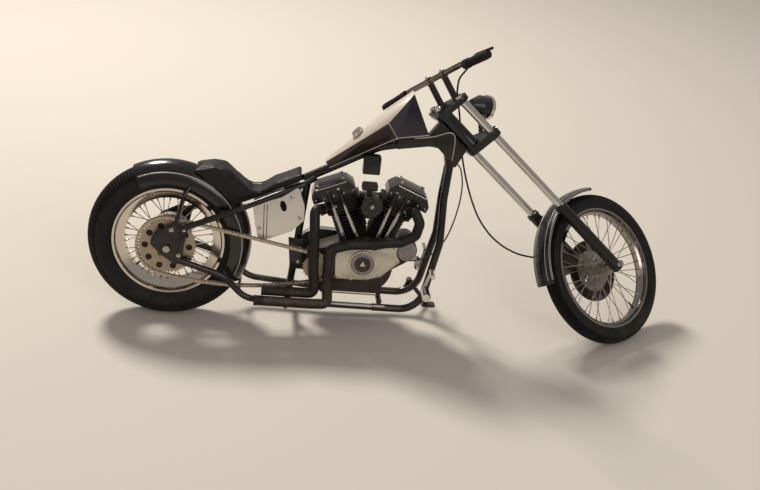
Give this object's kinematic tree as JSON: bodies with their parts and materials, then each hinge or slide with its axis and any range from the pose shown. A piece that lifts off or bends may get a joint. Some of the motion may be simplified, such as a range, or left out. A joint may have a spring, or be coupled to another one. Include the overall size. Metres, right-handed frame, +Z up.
{
  "type": "rigid-frame V-twin chopper motorcycle",
  "caption": "Rigid-frame chopper motorcycle with a long raked fork, open V-twin engine, wire wheels and a wedge-shaped tank, parked leaning on its side stand with the bars on their left stop.",
  "frame": {"origin": "on the floor, under the middle of the whole machine's bounding box", "axes": "+X towards the front wheel, +Y to the rider's left, +Z up from the floor; the machine leans 5 degrees to its left on the stand"},
  "size_m": [2.5951, 0.6308, 1.313],
  "materials": {
    "frame_paint": "gloss",
    "fender_paint": "gloss",
    "tank_paint": "gloss",
    "chrome_parts": "polished",
    "black_cast": "satin",
    "pipe_black": "satin",
    "cast_alloy": "satin",
    "oil_tank_alloy": "satin",
    "iron_fins": "satin",
    "generator_steel": "satin",
    "steel_parts": "satin",
    "chain_steel": "satin",
    "tyre_rubber": "matte",
    "seat_leather": "satin",
    "grip_rubber": "matte",
    "cable_rubber": "satin"
  },
  "bodies": {
    "frame": {"frame_neck": "frame_paint", "frame_backbone": "frame_paint", "frame_downtubes": "frame_paint", "frame_lower_rails": "frame_paint", "frame_seat_rails": "frame_paint", "frame_seat_post": "frame_paint", "axle_plates": "frame_paint", "rear_axle": "steel_parts", "engine_mounts": "frame_paint", "crankcase": "cast_alloy", "cam_cover": "cast_alloy", "generator": "generator_steel", "primary_cover": "cast_alloy", "rear_cylinder": "iron_fins", "front_cylinder": "iron_fins", "rear_rocker_box": "chrome_parts", "front_rocker_box": "chrome_parts", "pushrod_tubes": "chrome_parts", "carburettor": "cast_alloy", "exhaust_front": "pipe_black", "exhaust_rear": "pipe_black", "front_sprocket": "steel_parts", "drive_chain": "chain_steel", "gas_tank": "tank_paint", "seat": "seat_leather", "rear_fender": "fender_paint", "oil_tank": "oil_tank_alloy", "coil_box": "frame_paint", "clutch_cable": "cable_rubber", "stand_bracket": "frame_paint", "foot_pegs": "chrome_parts"},
    "fork": {"lower_clamp": "black_cast", "upper_clamp": "chrome_parts", "fork_tubes": "chrome_parts", "fork_sliders": "black_cast", "front_axle": "steel_parts", "handlebar": "chrome_parts", "hand_controls": "grip_rubber", "headlight": "chrome_parts", "front_fender": "fender_paint", "brake_caliper": "black_cast", "brake_hose": "cable_rubber"},
    "front_wheel": {"front_tyre": "tyre_rubber", "front_rim": "chrome_parts", "front_hub": "cast_alloy", "brake_disc": "steel_parts"},
    "rear_wheel": {"rear_tyre": "tyre_rubber", "rear_rim": "chrome_parts", "rear_hub": "cast_alloy", "rear_sprocket": "steel_parts"},
    "side_stand": {"side_stand": "chrome_parts"}
  },
  "joints": [
    {"name": "steering", "type": "hinge", "parent": "frame", "child": "fork", "pos_m": [0.26171, -0.02803, 0.90152], "axis": [-0.7406, 0.0572, 0.6695], "range_deg": [-90, 0]},
    {"name": "front_wheel_spin", "type": "hinge", "parent": "fork", "child": "front_wheel", "pos_m": [0.98898, -0.0448, 0.2885], "axis": [-0.4764, 0.6579, -0.5832], "continuous": true},
    {"name": "rear_wheel_spin", "type": "hinge", "parent": "frame", "child": "rear_wheel", "pos_m": [-0.95063, -0.07888, 0.34593], "axis": [-0.0019, 0.9962, -0.0871], "continuous": true},
    {"name": "side_stand_fold", "type": "hinge", "parent": "frame", "child": "side_stand", "pos_m": [0.13054, 0.03303, 0.13337], "axis": [-0.0019, 0.9962, -0.0871], "range_deg": [0, 125]}
  ]
}
